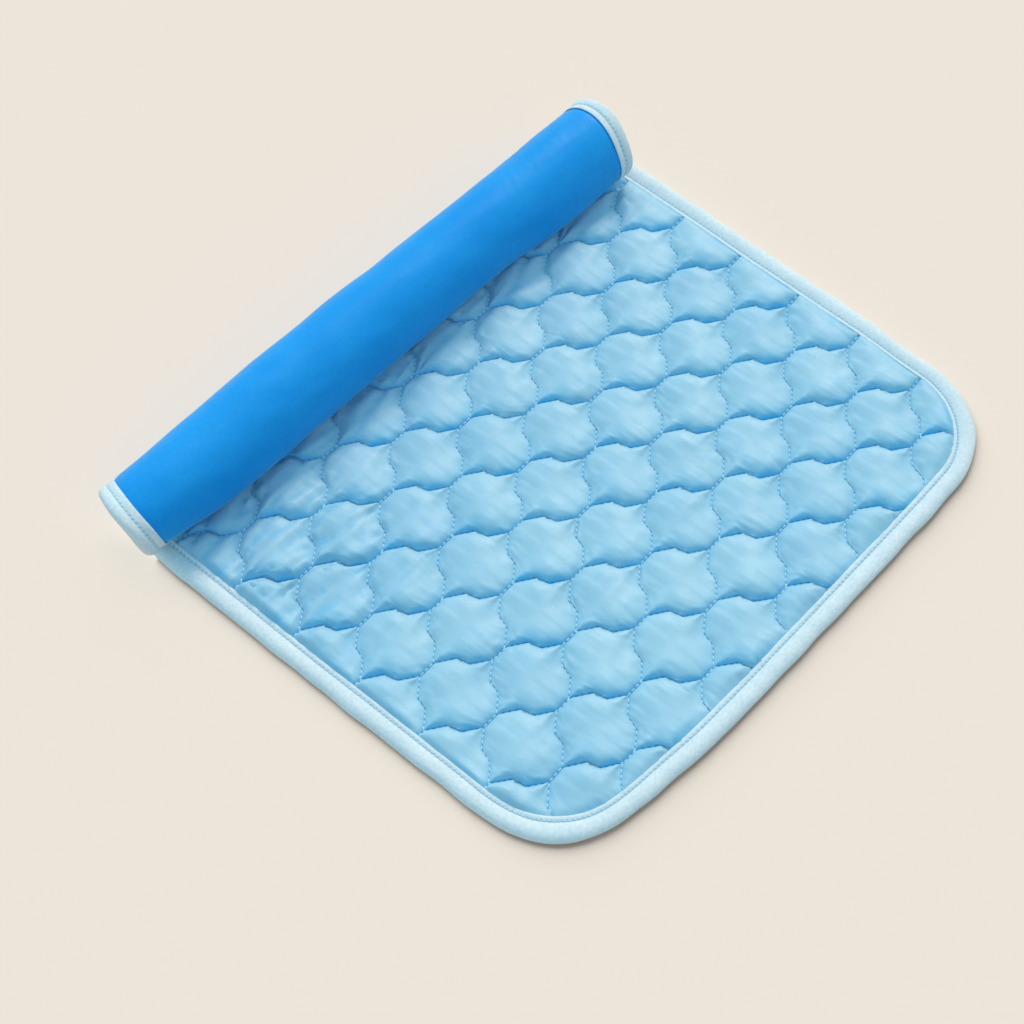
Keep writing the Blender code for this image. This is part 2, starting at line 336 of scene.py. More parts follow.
ROWS = wave_rows()
FIRST_LINE = math.floor(lattice_place(BACK, 0.0)[0]) - 1
LAST_LINE = math.ceil(lattice_place(FRONT, 0.0)[0]) + 1
FINE_COLUMNS = np.array([0, 0.5, 1.1, 1.9, 3.0, 4.4, 6.3, 8.7, 11.6, 14.8, 18.0, 20.8, 23.5]) / 47
COARSE_COLUMNS = np.array([0, 1.0, 3.0, 6.3, 11.0, 17.0, 23.5]) / 47
COARSE_BEYOND = ROLL_START - 30 * MM


# ---- the top cover's relief ----

def as_points(u, y, h):
    return np.stack([u, y, h], -1).reshape(-1, 3)


def grid_faces(rows, columns):
    index = np.arange(rows * columns).reshape(rows, columns)
    quads = np.stack([index[:-1, :-1], index[1:, :-1], index[1:, 1:], index[:-1, 1:]], -1)
    return quads.reshape(-1, 4)


def relief_cloth(u, y, z, held):
    """The sheet to inflate, as an object with a vertex group that is held still."""
    mesh = bpy.data.meshes.new("relief")
    mesh.from_pydata(as_points(u, y, z).tolist(), [], grid_faces(*u.shape).tolist())
    cloth = bpy.data.objects.new("relief", mesh)
    bpy.context.scene.collection.objects.link(cloth)
    group = cloth.vertex_groups.new(name="held")
    group.add(np.nonzero(held.ravel())[0].tolist(), 1.0, "REPLACE")
    return cloth


def add_cloth(obj):
    """Cloth that is slightly too large for its frame and is blown up from below."""
    modifier = obj.modifiers.new("cloth", "CLOTH")
    for name, value in CLOTH_SETTINGS.items():
        setattr(modifier.settings, name, value)
    modifier.settings.effector_weights.gravity = 0
    modifier.collision_settings.use_collision = False
    modifier.collision_settings.use_self_collision = False
    modifier.point_cache.frame_start = 1
    modifier.point_cache.frame_end = RELIEF_FRAMES


def blown_heights(cloth, shape):
    """Runs the simulation and gives the points' last heights."""
    scene = bpy.context.scene
    scene.frame_start, scene.frame_end = 1, RELIEF_FRAMES
    for number in range(1, RELIEF_FRAMES + 1):
        scene.frame_set(number)
    shown = cloth.evaluated_get(bpy.context.evaluated_depsgraph_get())
    result = shown.to_mesh()
    points = np.empty(len(result.vertices) * 3)
    result.vertices.foreach_get("co", points)
    scene.frame_set(1)
    return points.reshape(*shape, 3)[..., 2].copy()


def simulated_relief():
    """Inflates the quilted cover over the flat part, held down along the quilting and the binding."""
    low = np.array([ROLL_START - 3 * MM, -RELIEF_SIDE])
    high = np.array([RELIEF_FRONT, RELIEF_SIDE])
    count = ((high - low) / RELIEF_STEP).astype(int) + 1
    u, y = np.meshgrid(*(low[i] + RELIEF_STEP * np.arange(count[i]) for i in range(2)), indexing="ij")
    distance = seam_distance(u, y)
    edge = edge_distance(u, y)
    rng = np.random.default_rng(3)
    z = SEAM_HEIGHT + 2 * MM * np.clip(distance / (10 * MM), 0, 1) + rng.normal(0, 0.05 * MM, u.shape)
    z = np.where(edge < HELD_EDGE, EDGE_HEIGHT, z)
    rim = 1.5 * RELIEF_STEP
    border = (u < low[0] + rim) | (u > u.max() - rim) | (y < low[1] + rim) | (y > y.max() - rim)
    held = (distance < RELIEF_SEAM) | (edge < HELD_EDGE) | border
    cloth = relief_cloth(u, y, z, held)
    add_cloth(cloth)
    heights = blown_heights(cloth, u.shape)
    mesh = cloth.data
    bpy.data.objects.remove(cloth)
    bpy.data.meshes.remove(mesh)

    def sample(su, sy):
        fu = np.clip((su - low[0]) / RELIEF_STEP, 0, count[0] - 1.001)
        fy = np.clip((sy - low[1]) / RELIEF_STEP, 0, count[1] - 1.001)
        iu, iy = fu.astype(int), fy.astype(int)
        fu, fy = fu - iu, fy - iy
        near = heights[iu, iy] * (1 - fu) + heights[iu + 1, iy] * fu
        far = heights[iu, iy + 1] * (1 - fu) + heights[iu + 1, iy + 1] * fu
        return near * (1 - fy) + far * fy

    return sample


RELIEF = simulated_relief()
SOFT_SWELL = noise_field(11, 14, 30 * MM, 110 * MM)
FOLDS = noise_field(14, 16, 9 * MM, 19 * MM)
PUCKER_PHASE = noise_field(12, 10, 18 * MM, 60 * MM)
PUCKER_SIZE = noise_field(13, 12, 14 * MM, 50 * MM)


def base_height(u, y):
    """The cover's height where it is held: along the quilting, rising to the binding."""
    near_edge = 1 - ramp(edge_distance(u, y), 12, 9)
    return SEAM_HEIGHT + (EDGE_HEIGHT - SEAM_HEIGHT) * near_edge


def cover_height(u, y, distance, along, lean):
    """The quilted cover's height; along and lean are the run and the slant of the nearest quilting line.
    Each cell rises in a steep lip along its seams and then in a low dome."""
    edge = edge_distance(u, y)
    held = np.minimum(distance, np.maximum(edge - HELD_EDGE, 0))
    flat_share = smooth((u - (ROLL_START + 5 * MM)) / (45 * MM))
    low = base_height(u, y)
    lip = LIP_RISE * (0.3 + 0.7 * lean) * (1 - np.exp(-held / LIP_REACH))
    dome = DOME_RISE * np.tanh(held / DOME_REACH)
    if RELIEF is not None:
        blown = np.maximum(RELIEF(u, y) - SEAM_HEIGHT, 0) * 0.8
        dome = dome + RELIEF_SHARE * (blown - dome) * ramp(held, 0, 3) * flat_share
    height = low + (lip + dome) * (ROLLED_RELIEF + (1 - ROLLED_RELIEF) * flat_share)
    height += SWELL_RISE * SOFT_SWELL(u, y) * ramp(held, 0, 9) * flat_share
    phase = along / PUCKER_SPACING + 0.9 * PUCKER_PHASE(u, y)
    size = PUCKER_RISE * (0.75 + 0.5 * PUCKER_SIZE(u, y))
    beside_seam = np.exp(-held / PUCKER_REACH) * (1 - np.exp(-held / PUCKER_START))
    height += size * beside_seam * np.sin(2 * math.pi * phase)
    return height + FOLD_RISE * fold_share(u, y) * ramp(held, 0, 4) * fold_shape(u, y)


def fold_share(u, y):
    """Where the cloth is bunched into folds: beside the roll, most at its left end, and a little
    elsewhere."""
    past = u - ROLL_START
    by_roll = 1 - ramp(past, 12, 60)
    at_left = (1 - ramp(y, -130, 80)) * (1 - ramp(past, 70, 110))
    patch = 0.22 * smooth((SOFT_SWELL(u, y) + 0.1) / 0.9)
    return np.maximum(np.maximum(by_roll, at_left), patch) * ramp(past, 0, 8)


def fold_shape(u, y):
    """Rounded folds along the roll with sharp valleys between them, 0 in a valley and 1 on a fold."""
    return np.minimum(np.abs(FOLDS(u + 0.06 * y, 0.16 * y)) * 1.5, 1)


# ---- making pieces ----

# The lights are linked to the pad or to the floor. FLAT_PART only lists the pieces that shade the fill
# and the floor light.
PAD = bpy.data.collections.new("pad")
STAGE = bpy.data.collections.new("stage")
FLAT_PART = bpy.data.collections.new("flat_part")
for made in (PAD, STAGE):
    bpy.context.scene.collection.children.link(made)


def vertex_normals(points, faces):
    """Area-weighted normals of a mesh of quads."""
    a, b, c, d = (points[faces[:, i]] for i in range(4))
    face_normals = np.cross(c - a, d - b)
    normals = np.zeros_like(points)
    for i in range(4):
        for axis in range(3):
            normals[:, axis] += np.bincount(
                faces[:, i], weights=face_normals[:, axis], minlength=len(points)
            )
    lengths = np.linalg.norm(normals, axis=1, keepdims=True)
    return normals / np.maximum(lengths, 1e-12)


def new_piece(name, points, faces, normals, attributes, material):
    used = np.unique(faces)
    index = np.full(len(points), -1)
    index[used] = np.arange(len(used))
    mesh = bpy.data.meshes.new(name)
    mesh.vertices.add(len(used))
    mesh.vertices.foreach_set("co", points[used].astype(np.float32).ravel())
    corners = index[faces]
    mesh.loops.add(corners.size)
    mesh.loops.foreach_set("vertex_index", corners.ravel().astype(np.int32))
    mesh.polygons.add(len(corners))
    mesh.polygons.foreach_set("loop_start", (np.arange(len(corners)) * 4).astype(np.int32))
    mesh.update(calc_edges=True)
    mesh.validate()
    mesh.shade_smooth()
    for key, values in attributes.items():
        if values.ndim == 1:
            layer = mesh.attributes.new(key, "FLOAT", "POINT")
            layer.data.foreach_set("value", values[used].astype(np.float32))
        else:
            layer = mesh.attributes.new(key, "FLOAT_VECTOR", "POINT")
            layer.data.foreach_set("vector", values[used].astype(np.float32).ravel())
    if normals is not None:
        mesh.normals_split_custom_set_from_vertices(normals[used].tolist())
    mesh.materials.append(material)
    obj = bpy.data.objects.new(name, mesh)
    PAD.objects.link(obj)
    return obj


def cut_point(p):
    """A point of the cover's side of the pad on the cut at p."""
    point = place(np.array([ROLL_START - p]), np.array([0.0]), np.array([THICKNESS]))[0]
    return float(point[0]), 0.0, float(point[2])


def attach(obj, piece):
    """Piece 0 lies flat and goes with the flat part's body; each other keeps its rolled-up place."""
    if piece == 0:
        FLAT_PART.objects.link(obj)
        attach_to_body(obj, "flat_part")
    else:
        start, end = cut_point(CUTS[piece - 1]), cut_point(CUTS[piece])
        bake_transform(obj)


def piece_title(title, piece):
    return f"{title}_flat" if piece == 0 else f"{title}_bend_{piece}"


def split_layer(title, developed, faces, attributes, material, replaced=None, normals=True):
    """Rolls a layer up, cuts it between the hinges and makes its pieces."""
    u, y, h = developed.T
    points = place(u, y, h)
    shading = vertex_normals(points, faces) if normals else None
    attributes = dict(attributes)
    attributes["cloth"] = np.stack([u, y, h], -1)
    middle = ROLL_START - u[faces].mean(axis=1)
    piece_of = np.searchsorted(CUTS[:-1], middle)
    made = []
    for piece in range(PIECE_COUNT):
        own = faces[piece_of == piece]
        if not len(own):
            made.append(None)
            continue
        obj = new_piece(piece_title(title, piece), points, own, shading, attributes, material)
        attach(obj, piece)
        if replaced is not None:
            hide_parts(*replaced(piece))
        made.append(obj)
    return made


def nodes_of(name):
    """Which CAD nodes of a layer each piece stands for."""
    def listed(piece):
        return [name if piece == 0 else f"{name}_roll_{piece}"]
    return listed


def binding_nodes(piece):
    if piece == 0:
        return ["binding"]
    if piece == SEGMENTS:
        return ["binding_rolled_end"]
    return [f"binding_left_roll_{piece}", f"binding_right_roll_{piece}"]


# ---- materials ----

SHEEN_ROUGHNESS = 0.4


def new_material(name, colour, roughness, sheen=0.0, specular=0.5):
    material = bpy.data.materials.new(name)
    material.use_nodes = True
    shader = material.node_tree.nodes["Principled BSDF"]
    shader.inputs["Base Color"].default_value = (*colour, 1.0)
    shader.inputs["Roughness"].default_value = roughness
    shader.inputs["Sheen Weight"].default_value = sheen
    shader.inputs["Sheen Roughness"].default_value = SHEEN_ROUGHNESS
    shader.inputs["Specular IOR Level"].default_value = specular
    return material, shader


class Graph:
    """Shorthand for building one material's nodes."""

    def __init__(self, material):
        self.tree = material.node_tree

    def node(self, kind, inputs=None, **settings):
        made = self.tree.nodes.new(kind)
        for key, value in settings.items():
            setattr(made, key, value)
        for key, value in (inputs or {}).items():
            self.feed(made.inputs[key], value)
        return made

    def feed(self, socket, value):
        if isinstance(value, bpy.types.NodeSocket):
            self.tree.links.new(value, socket)
        else:
            socket.default_value = value

    def math(self, operation, *values):
        made = self.node("ShaderNodeMath", operation=operation)
        for socket, value in zip(made.inputs, values):
            self.feed(socket, value)
        return made.outputs[0]

    def attribute(self, name, output="Fac"):
        return self.node("ShaderNodeAttribute", attribute_name=name).outputs[output]

    def scaled(self, vector, scale):
        made = self.node("ShaderNodeVectorMath", operation="MULTIPLY")
        self.feed(made.inputs[0], vector)
        self.feed(made.inputs[1], scale)
        return made.outputs[0]

    def noise(self, vector, scale, detail=3.0, roughness=0.55, distortion=0.0):
        inputs = {"Vector": vector, "Scale": scale, "Detail": detail,
                  "Roughness": roughness, "Distortion": distortion}
        return self.node("ShaderNodeTexNoise", inputs).outputs["Fac"]

    def remap(self, value, low, high, to_low=0.0, to_high=1.0):
        inputs = {"Value": value, "From Min": low, "From Max": high,
                  "To Min": to_low, "To Max": to_high}
        return self.node("ShaderNodeMapRange", inputs).outputs["Result"]

    def mix(self, factor, first, second):
        made = self.node("ShaderNodeMix", data_type="RGBA")
        self.feed(made.inputs[0], factor)
        self.feed(made.inputs[6], first)
        self.feed(made.inputs[7], second)
        return made.outputs[2]

    def bump(self, height, distance, strength=1.0, normal=None):
        inputs = {"Height": height, "Distance": distance, "Strength": strength}
        made = self.node("ShaderNodeBump", inputs)
        if normal is not None:
            self.feed(made.inputs["Normal"], normal)
        return made.outputs["Normal"]


def cover_material():
    """Silky light-blue cloth with a fine weave and painted shade in its creases, holed by the needle."""
    material, shader = new_material(
        "cool_cloth", (0.27, 0.57, 0.83), roughness=0.5, sheen=0.1, specular=0.35
    )
    graph = Graph(material)
    cloth = graph.attribute("cloth", "Vector")
    crease = graph.attribute("crease")
    drift = graph.noise(cloth, 14.0, 2.0)
    fine = graph.noise(cloth, 120.0, 4.0, 0.6)
    light = graph.mix(graph.remap(drift, 0.35, 0.65), (0.285, 0.525, 0.68, 1), (0.335, 0.57, 0.70, 1))
    light = graph.mix(graph.remap(fine, 0.3, 0.7, 0.0, 0.30), light, (0.22, 0.49, 0.68, 1))
    # Painted shade: a deeper, saturated blue along the seams, on each cell's flank that faces away from
    # the key light and in the fold valleys.
    shaded = graph.mix(crease, light, (0.03, 0.43, 0.78, 1))
    along = graph.attribute("along")
    turn = graph.math("FRACT", graph.math("DIVIDE", along, STITCH_PITCH))
    off = graph.math("ABSOLUTE", graph.math("SUBTRACT", turn, 0.5))
    near_hole = graph.remap(off, 0.33, 0.46)
    on_seam = graph.remap(graph.attribute("seam"), 0.0003, 0.0011, 1.0, 0.0)
    hole = graph.math("MULTIPLY", near_hole, on_seam)
    hole = graph.math("MULTIPLY", hole, 0.35)
    colour = graph.mix(hole, shaded, (0.02, 0.22, 0.55, 1))
    graph.feed(shader.inputs["Base Color"], colour)
    graph.feed(shader.inputs["Roughness"], graph.remap(fine, 0.3, 0.7, 0.46, 0.58))
    wrinkle = graph.noise(graph.scaled(cloth, (1.0, 1.5, 1.0)), 85.0, 3.0, 0.5, 0.6)
    weave = graph.noise(graph.scaled(cloth, (1.0, 2.2, 1.0)), 900.0, 2.0)
    bumped = graph.bump(wrinkle, 0.0011, 0.10)
    bumped = graph.bump(weave, 0.00025, 0.5, bumped)
    graph.feed(shader.inputs["Normal"], bumped)
    return material


def satin_material():
    """Deep-blue satin with fine soft wrinkles."""
    material, shader = new_material(
        "blue_satin", (0.004, 0.27, 0.76), roughness=0.42, sheen=0.32, specular=0.07
    )
    shader.inputs["Sheen Tint"].default_value = (0.42, 0.85, 1.0, 1)
    graph = Graph(material)
    cloth = graph.attribute("cloth", "Vector")
    drift = graph.noise(cloth, 18.0, 3.0)
    colour = graph.mix(graph.remap(drift, 0.3, 0.7), (0.006, 0.27, 0.72, 1), (0.016, 0.325, 0.78, 1))
    fine = graph.noise(graph.scaled(cloth, (1.0, 3.0, 1.0)), 300.0, 3.0)
    colour = graph.mix(graph.remap(fine, 0.35, 0.65, 0.0, 0.30), colour, (0.001, 0.22, 0.66, 1))
    graph.feed(shader.inputs["Base Color"], colour)
    wrinkle = graph.noise(graph.scaled(cloth, (1.0, 0.55, 1.0)), 55.0, 3.0, 0.5, 0.8)
    weave = graph.noise(graph.scaled(cloth, (1.0, 4.0, 1.0)), 700.0, 2.0)
    bumped = graph.bump(wrinkle, 0.0010, 0.40)
    bumped = graph.bump(weave, 0.00015, 0.4, bumped)
    graph.feed(shader.inputs["Normal"], bumped)
    graph.feed(shader.inputs["Roughness"], graph.remap(fine, 0.3, 0.7, 0.40, 0.50))
    return material


def binding_material():
    """Pale-blue twill tape, its fine ribs running aslant."""
    material, shader = new_material("twill_tape", (0.58, 0.76, 0.86), roughness=0.68, sheen=0.2)
    graph = Graph(material)
    tape = graph.attribute("tape", "Vector")
    parts = graph.node("ShaderNodeSeparateXYZ", {"Vector": tape})
    along, across = parts.outputs[0], parts.outputs[1]
    slanted = graph.math("ADD", along, graph.math("MULTIPLY", across, 1.1))
    wobble = graph.math("MULTIPLY", graph.noise(tape, 300.0, 2.0), 0.00035)
    turns = graph.math("DIVIDE", graph.math("ADD", slanted, wobble), 0.00095)
    rib = graph.math("SINE", graph.math("MULTIPLY", turns, 2 * math.pi))
    rib = graph.remap(rib, -1.0, 1.0)
    patch = graph.noise(tape, 40.0, 3.0)
    fleck = graph.noise(tape, 420.0, 3.0, 0.6)
    colour = graph.mix(graph.remap(patch, 0.3, 0.7), (0.69, 0.775, 0.80, 1), (0.77, 0.835, 0.845, 1))
    colour = graph.mix(graph.remap(fleck, 0.38, 0.6, 0.35, 0.0), colour, (0.38, 0.60, 0.76, 1))
    colour = graph.mix(graph.remap(rib, 0.0, 0.6, 0.30, 0.0), colour, (0.32, 0.56, 0.76, 1))
    top = graph.math("ABSOLUTE", graph.math("SUBTRACT", across, float(SECTION_RUN[TOP_STITCH_AT])))
    bottom = graph.math("ABSOLUTE", graph.math("SUBTRACT", across, float(SECTION_RUN[BOTTOM_STITCH_AT])))
    on_line = graph.remap(graph.math("MINIMUM", top, bottom), 0.0003, 0.0011, 1.0, 0.0)
    turn = graph.math("FRACT", graph.math("DIVIDE", along, BINDING_PITCH))
    off = graph.math("ABSOLUTE", graph.math("SUBTRACT", turn, 0.5))
    hole = graph.math("MULTIPLY", on_line, graph.remap(off, 0.28, 0.42, 0.18, 0.50))
    colour = graph.mix(hole, colour, (0.08, 0.22, 0.40, 1))
    graph.feed(shader.inputs["Base Color"], colour)
    graph.feed(shader.inputs["Normal"], graph.bump(rib, 0.00018, 0.7))
    return material


def thread_material():
    """Light-blue polyester thread, twisted."""
    material, shader = new_material("stitch_thread", (0.42, 0.75, 0.88), roughness=0.5)
    graph = Graph(material)
    cloth = graph.attribute("cloth", "Vector")
    strand = graph.noise(cloth, 1600.0, 2.0)
    colour = graph.mix(graph.remap(strand, 0.35, 0.65), (0.36, 0.70, 0.86, 1), (0.52, 0.82, 0.92, 1))
    graph.feed(shader.inputs["Base Color"], colour)
    graph.feed(shader.inputs["Normal"], graph.bump(strand, 0.00015, 0.6))
    return material


def wadding_material():
    material, shader = new_material("fibre_wadding", (0.86, 0.88, 0.90), roughness=0.95)
    graph = Graph(material)
    fibre = graph.noise(graph.attribute("cloth", "Vector"), 500.0, 5.0, 0.7)
    colour = graph.mix(graph.remap(fibre, 0.3, 0.7), (0.80, 0.83, 0.86, 1), (0.92, 0.93, 0.94, 1))
    graph.feed(shader.inputs["Base Color"], colour)
    graph.feed(shader.inputs["Normal"], graph.bump(fibre, 0.0006, 0.6))
    return material


COOL_CLOTH = cover_material()
SATIN = satin_material()
THREAD = thread_material()
WADDING = wadding_material()


# ---- the quilted top cover ----

def line_course(k):
    """Quilting line k's lattice coordinate a at each row."""
    return wave_line(np.full(ROWS.shape, k), ROWS)


def line_runs():
    """Distance run along each quilting line at each row."""
    runs = {}
    for k in range(FIRST_LINE, LAST_LINE + 1):
        u, y = lattice_point(line_course(k), ROWS)
        steps = np.hypot(np.diff(u), np.diff(y))
        runs[k] = np.concatenate([[0.0], np.cumsum(steps)])
    return runs


def line_leans():
    """At each row, 1 where a quilting line slants towards the free end and 0 where it slants away."""
    leans = {}
    kernel = np.ones(5) / 5
    for k in range(FIRST_LINE, LAST_LINE + 1):
        slope = np.gradient(line_course(k), ROWS)
        leans[k] = np.convolve(np.pad(smooth(0.5 + 0.8 * slope), 2, mode="edge"), kernel, mode="valid")
    return leans


RUNS = line_runs()
LEANS = line_leans()


def cover_grid():
    """The cover's columns of points, following the quilting lines: u, y, and the run, lean and lower
    flank of the nearest line."""
    columns = []
    for k in range(FIRST_LINE, LAST_LINE):
        left, right = line_course(k), line_course(k + 1)
        beyond = lattice_point(float(k + 1), 0.0)[0] < COARSE_BEYOND
        half = COARSE_COLUMNS if beyond else FINE_COLUMNS
        shares = np.concatenate([half, 1 - half[-2::-1]])
        for share in shares[:-1]:
            u, y = lattice_point(left + (right - left) * share, ROWS)
            nearest = k if share < 0.5 else k + 1
            lean = LEANS[k] + (LEANS[k + 1] - LEANS[k]) * smooth(2 * share - 0.5)
            flank = LEANS[k + 1] * smooth((share - 0.45) / 0.1)
            columns.append((u, y, RUNS[nearest], lean, flank))
    return np.array(columns).transpose(1, 0, 2)


def trim_to_outline(u, y, inset):
    """Moves points beyond this inset back onto it."""
    step = 0.01 * MM
    edge = edge_distance(u, y)
    slope_u = (edge_distance(u + step, y) - edge_distance(u - step, y)) / (2 * step)
    slope_y = (edge_distance(u, y + step) - edge_distance(u, y - step)) / (2 * step)
    short = np.maximum(inset - edge, 0)
    return u + short * slope_u, y + short * slope_y, edge


def top_cover():
    u, y, run, lean, flank = cover_grid()
    shape = u.shape
    faces = grid_faces(*shape)
    u, y, run, lean, flank = (part.ravel() for part in (u, y, run, lean, flank))
    u, y, edge = trim_to_outline(u, y, CLOTH_INSET)
    faces = faces[(edge[faces] > CLOTH_INSET).any(axis=1)]
    distance = seam_distance(u, y)
    height = cover_height(u, y, distance, run, lean)
    held = np.minimum(distance, np.maximum(edge - HELD_EDGE, 0))
    uneven = 0.72 + 0.28 * PUCKER_SIZE(u + 0.1, y)
    # Painted shade, as a share of the deeper blue: along the seams, on the cells' flanks that face away
    # from the key light, and in the fold valleys.
    painted_seam_shade = 0.22 * np.exp(-held / (1.3 * MM))
    painted_flank_shade = 0.80 * uneven * flank * np.exp(-held / (3.6 * MM))
    painted_valley_shade = fold_share(u, y) * (1 - smooth(fold_shape(u, y) / 0.34)) * ramp(held, 0, 4)
    attributes = {
        "crease": np.clip(painted_seam_shade + painted_flank_shade + 0.40 * painted_valley_shade, 0, 1),
        "seam": distance,
        "along": run,
    }
    return split_layer(
        "quilted_cover", as_points(u, y, height), faces, attributes,
        COOL_CLOTH, nodes_of("top_cover"),
    )


# ---- stitches ----

# A stitch's rings as (share of its length, lift in mm, radius in mm)
STITCH_RINGS = [
    (-0.5, -0.14, 0.12), (-0.36, 0.18, 0.27), (0.0, 0.34, 0.32), (0.36, 0.18, 0.27), (0.5, -0.14, 0.12),
]
STITCH_SIDES = 6
QUILTING_STITCH_LENGTH = 2.7 * MM
BINDING_STITCH_LENGTH = 2.1 * MM
QUILTING_STITCH_LIFT = 0.12 * MM
BINDING_STITCH_LIFT = 0.10 * MM
STITCH_CLEARANCE = 0.4 * MM


def stitches(starts, directions, heights, length, upward=1.0):
    """Points and faces of short rounded stitches lying on the cloth, or hanging under it."""
    count = len(starts)
    side = np.stack([-directions[:, 1], directions[:, 0]], -1)
    rings = []
    for place_along, lift, radius in STITCH_RINGS:
        middle = starts + directions * (place_along * length)
        for i in range(STITCH_SIDES):
            angle = 2 * math.pi * i / STITCH_SIDES
            flat = middle + side * (radius * MM * math.cos(angle))
            h = heights + upward * (lift + radius * math.sin(angle)) * MM
            rings.append(np.concatenate([flat, h[:, None]], axis=1))
    points = np.stack(rings, axis=1)
    per = points.shape[1]
    quads = []
    for ring in range(len(STITCH_RINGS) - 1):
        for i in range(STITCH_SIDES):
            j = (i + 1) % STITCH_SIDES
            low, high = ring * STITCH_SIDES, (ring + 1) * STITCH_SIDES
            quads.append((low + i, low + j, high + j, high + i))
    for base, order in ((0, 1), ((len(STITCH_RINGS) - 1) * STITCH_SIDES, -1)):
        for cap in ((0, 3, 2, 1), (0, 5, 4, 3)):
            quad = tuple(base + i for i in cap)
            quads.append(quad if order > 0 else quad[::-1])
    quads = np.array(quads)
    if upward < 0:
        quads = quads[:, ::-1]
    faces = (quads[None] + per * np.arange(count)[:, None, None]).reshape(-1, 4)
    return points.reshape(-1, 3), faces


def quilting_stitches():
    """Stitches along every quilting line. Where two lines touch, only one of them has stitches."""
    spots, headings = [], []
    for k in range(FIRST_LINE, LAST_LINE + 1):
        run = RUNS[k]
        u, y = lattice_point(line_course(k), ROWS)
        wanted = np.arange(STITCH_PITCH / 2, run[-1], STITCH_PITCH)
        at_u, at_y = np.interp(wanted, run, u), np.interp(wanted, run, y)
        reach = 0.25 * STITCH_PITCH
        du = np.interp(wanted + reach, run, u) - np.interp(wanted - reach, run, u)
        dy = np.interp(wanted + reach, run, y) - np.interp(wanted - reach, run, y)
        length = np.maximum(np.hypot(du, dy), 1e-9)
        keep = edge_distance(at_u, at_y) > BINDING_REACH + STITCH_CLEARANCE
        if k % 2:
            row = np.interp(wanted, run, ROWS)
            shared = np.abs(row - np.round(row)) < 0.15
            keep &= ~shared
        spots.append(np.stack([at_u, at_y], -1)[keep])
        headings.append(np.stack([du / length, dy / length], -1)[keep])
    spots, headings = np.concatenate(spots), np.concatenate(headings)
    heights = base_height(spots[:, 0], spots[:, 1]) + QUILTING_STITCH_LIFT
    points, faces = stitches(spots, headings, heights, QUILTING_STITCH_LENGTH)
    return split_layer(
        "quilting_stitches", points, faces, {}, THREAD,
        lambda piece: ["quilting_thread"] if piece == 0 else [], normals=False,
    )


# ---- binding ----

# The tape's section as (in from the edge, height) in millimetres, from the top lip round to the bottom
# lip, and back along its inside
TOP_OUTSIDE = [
    (13.2, 4.5), (13.25, 4.95), (12.9, 5.25), (12.2, 5.35), (11.5, 5.2), (10.9, 4.95), (10.5, 4.8),
    (10.0, 4.95), (9.2, 5.4), (8.0, 5.85), (6.5, 6.2), (5.0, 6.3), (3.5, 6.1), (2.2, 5.6), (1.1, 4.8),
    (0.35, 3.9),
]
EDGE_OUTSIDE = [(0.0, 3.1)]
BOTTOM_OUTSIDE = [
    (0.1, 2.4), (0.6, 1.5), (1.6, 0.7), (3.0, 0.25), (5.0, 0.08), (7.0, 0.04), (8.0, 0.28), (8.5, 0.56),
    (9.0, 0.28), (10.5, 0.04), (12.0, 0.04), (12.9, 0.05), (13.2, 0.25),
]
BOTTOM_ROLLED = [
    (0.1, 2.0), (0.5, 1.1), (1.2, 0.2), (2.3, -0.35), (3.8, -0.6), (5.6, -0.45), (7.0, 0.0), (7.6, 0.3),
    (8.2, 0.05), (9.4, -0.2), (11.0, -0.35), (12.1, -0.4), (12.5, -0.05),
]
BOTTOM_INSIDE = [
    (12.9, 0.5), (10.5, 0.5), (8.5, 0.80), (6.0, 0.55), (3.5, 0.75), (2.2, 1.2), (1.3, 1.9), (0.75, 2.6),
]
BOTTOM_INSIDE_ROLLED = [
    (12.3, 0.5), (9.6, 0.55), (7.6, 0.72), (5.6, 0.5), (3.2, 0.55), (2.0, 0.9), (1.2, 1.6), (0.75, 2.4),
]
TOP_INSIDE = [
    (0.6, 3.2), (0.9, 4.0), (1.6, 4.7), (2.7, 5.2), (4.0, 5.55), (5.2, 5.7), (6.5, 5.6), (8.0, 5.3),
    (9.3, 4.85), (10.5, 4.4), (11.5, 4.65), (12.3, 4.85), (12.9, 4.75),
]
FLAT_BOTTOM = BOTTOM_OUTSIDE + BOTTOM_INSIDE
ROLLED_BOTTOM = BOTTOM_ROLLED + BOTTOM_INSIDE_ROLLED
FLAT_SECTION = np.array(TOP_OUTSIDE + EDGE_OUTSIDE + FLAT_BOTTOM + TOP_INSIDE) * MM
ROLLED_SECTION = np.array(TOP_OUTSIDE + EDGE_OUTSIDE + ROLLED_BOTTOM + TOP_INSIDE) * MM
TOP_STITCH_INSET = 10.5 * MM
SECTION_RUN = np.concatenate([[0.0], np.cumsum(np.linalg.norm(np.diff(FLAT_SECTION, axis=0), axis=1))])
TOP_STITCH_AT = 6
BOTTOM_STITCH_AT = len(TOP_OUTSIDE) + len(EDGE_OUTSIDE) + 7
BINDING_PITCH = 3.0 * MM
TAPE = binding_material()
SWELL_ABOVE = 4 * MM
SWAY_RISE = 0.35 * MM
SWAY_DEPTH = 9 * MM
RIB_SWELL = noise_field(21, 16, 9 * MM, 45 * MM)
EDGE_SWAY = noise_field(22, 12, 25 * MM, 120 * MM)


def rolled_share(u):
    """0 on the flat part and 1 where the pad has left the floor."""
    return ramp(ROLL_START - u, 4, 18)


def spaced(stops, spacing):
    """Evenly spaced places through rising stops, with every stop but the last."""
    places = []
    for start, end in zip(stops, stops[1:]):
        count = max(1, round((end - start) / spacing))
        places += [start + (end - start) * i / count for i in range(count)]
    return places


def corner_station(centre_u, centre_y, radius, out_u, out_y):
    return centre_u + radius * out_u, centre_y + radius * out_y, -out_u, -out_y


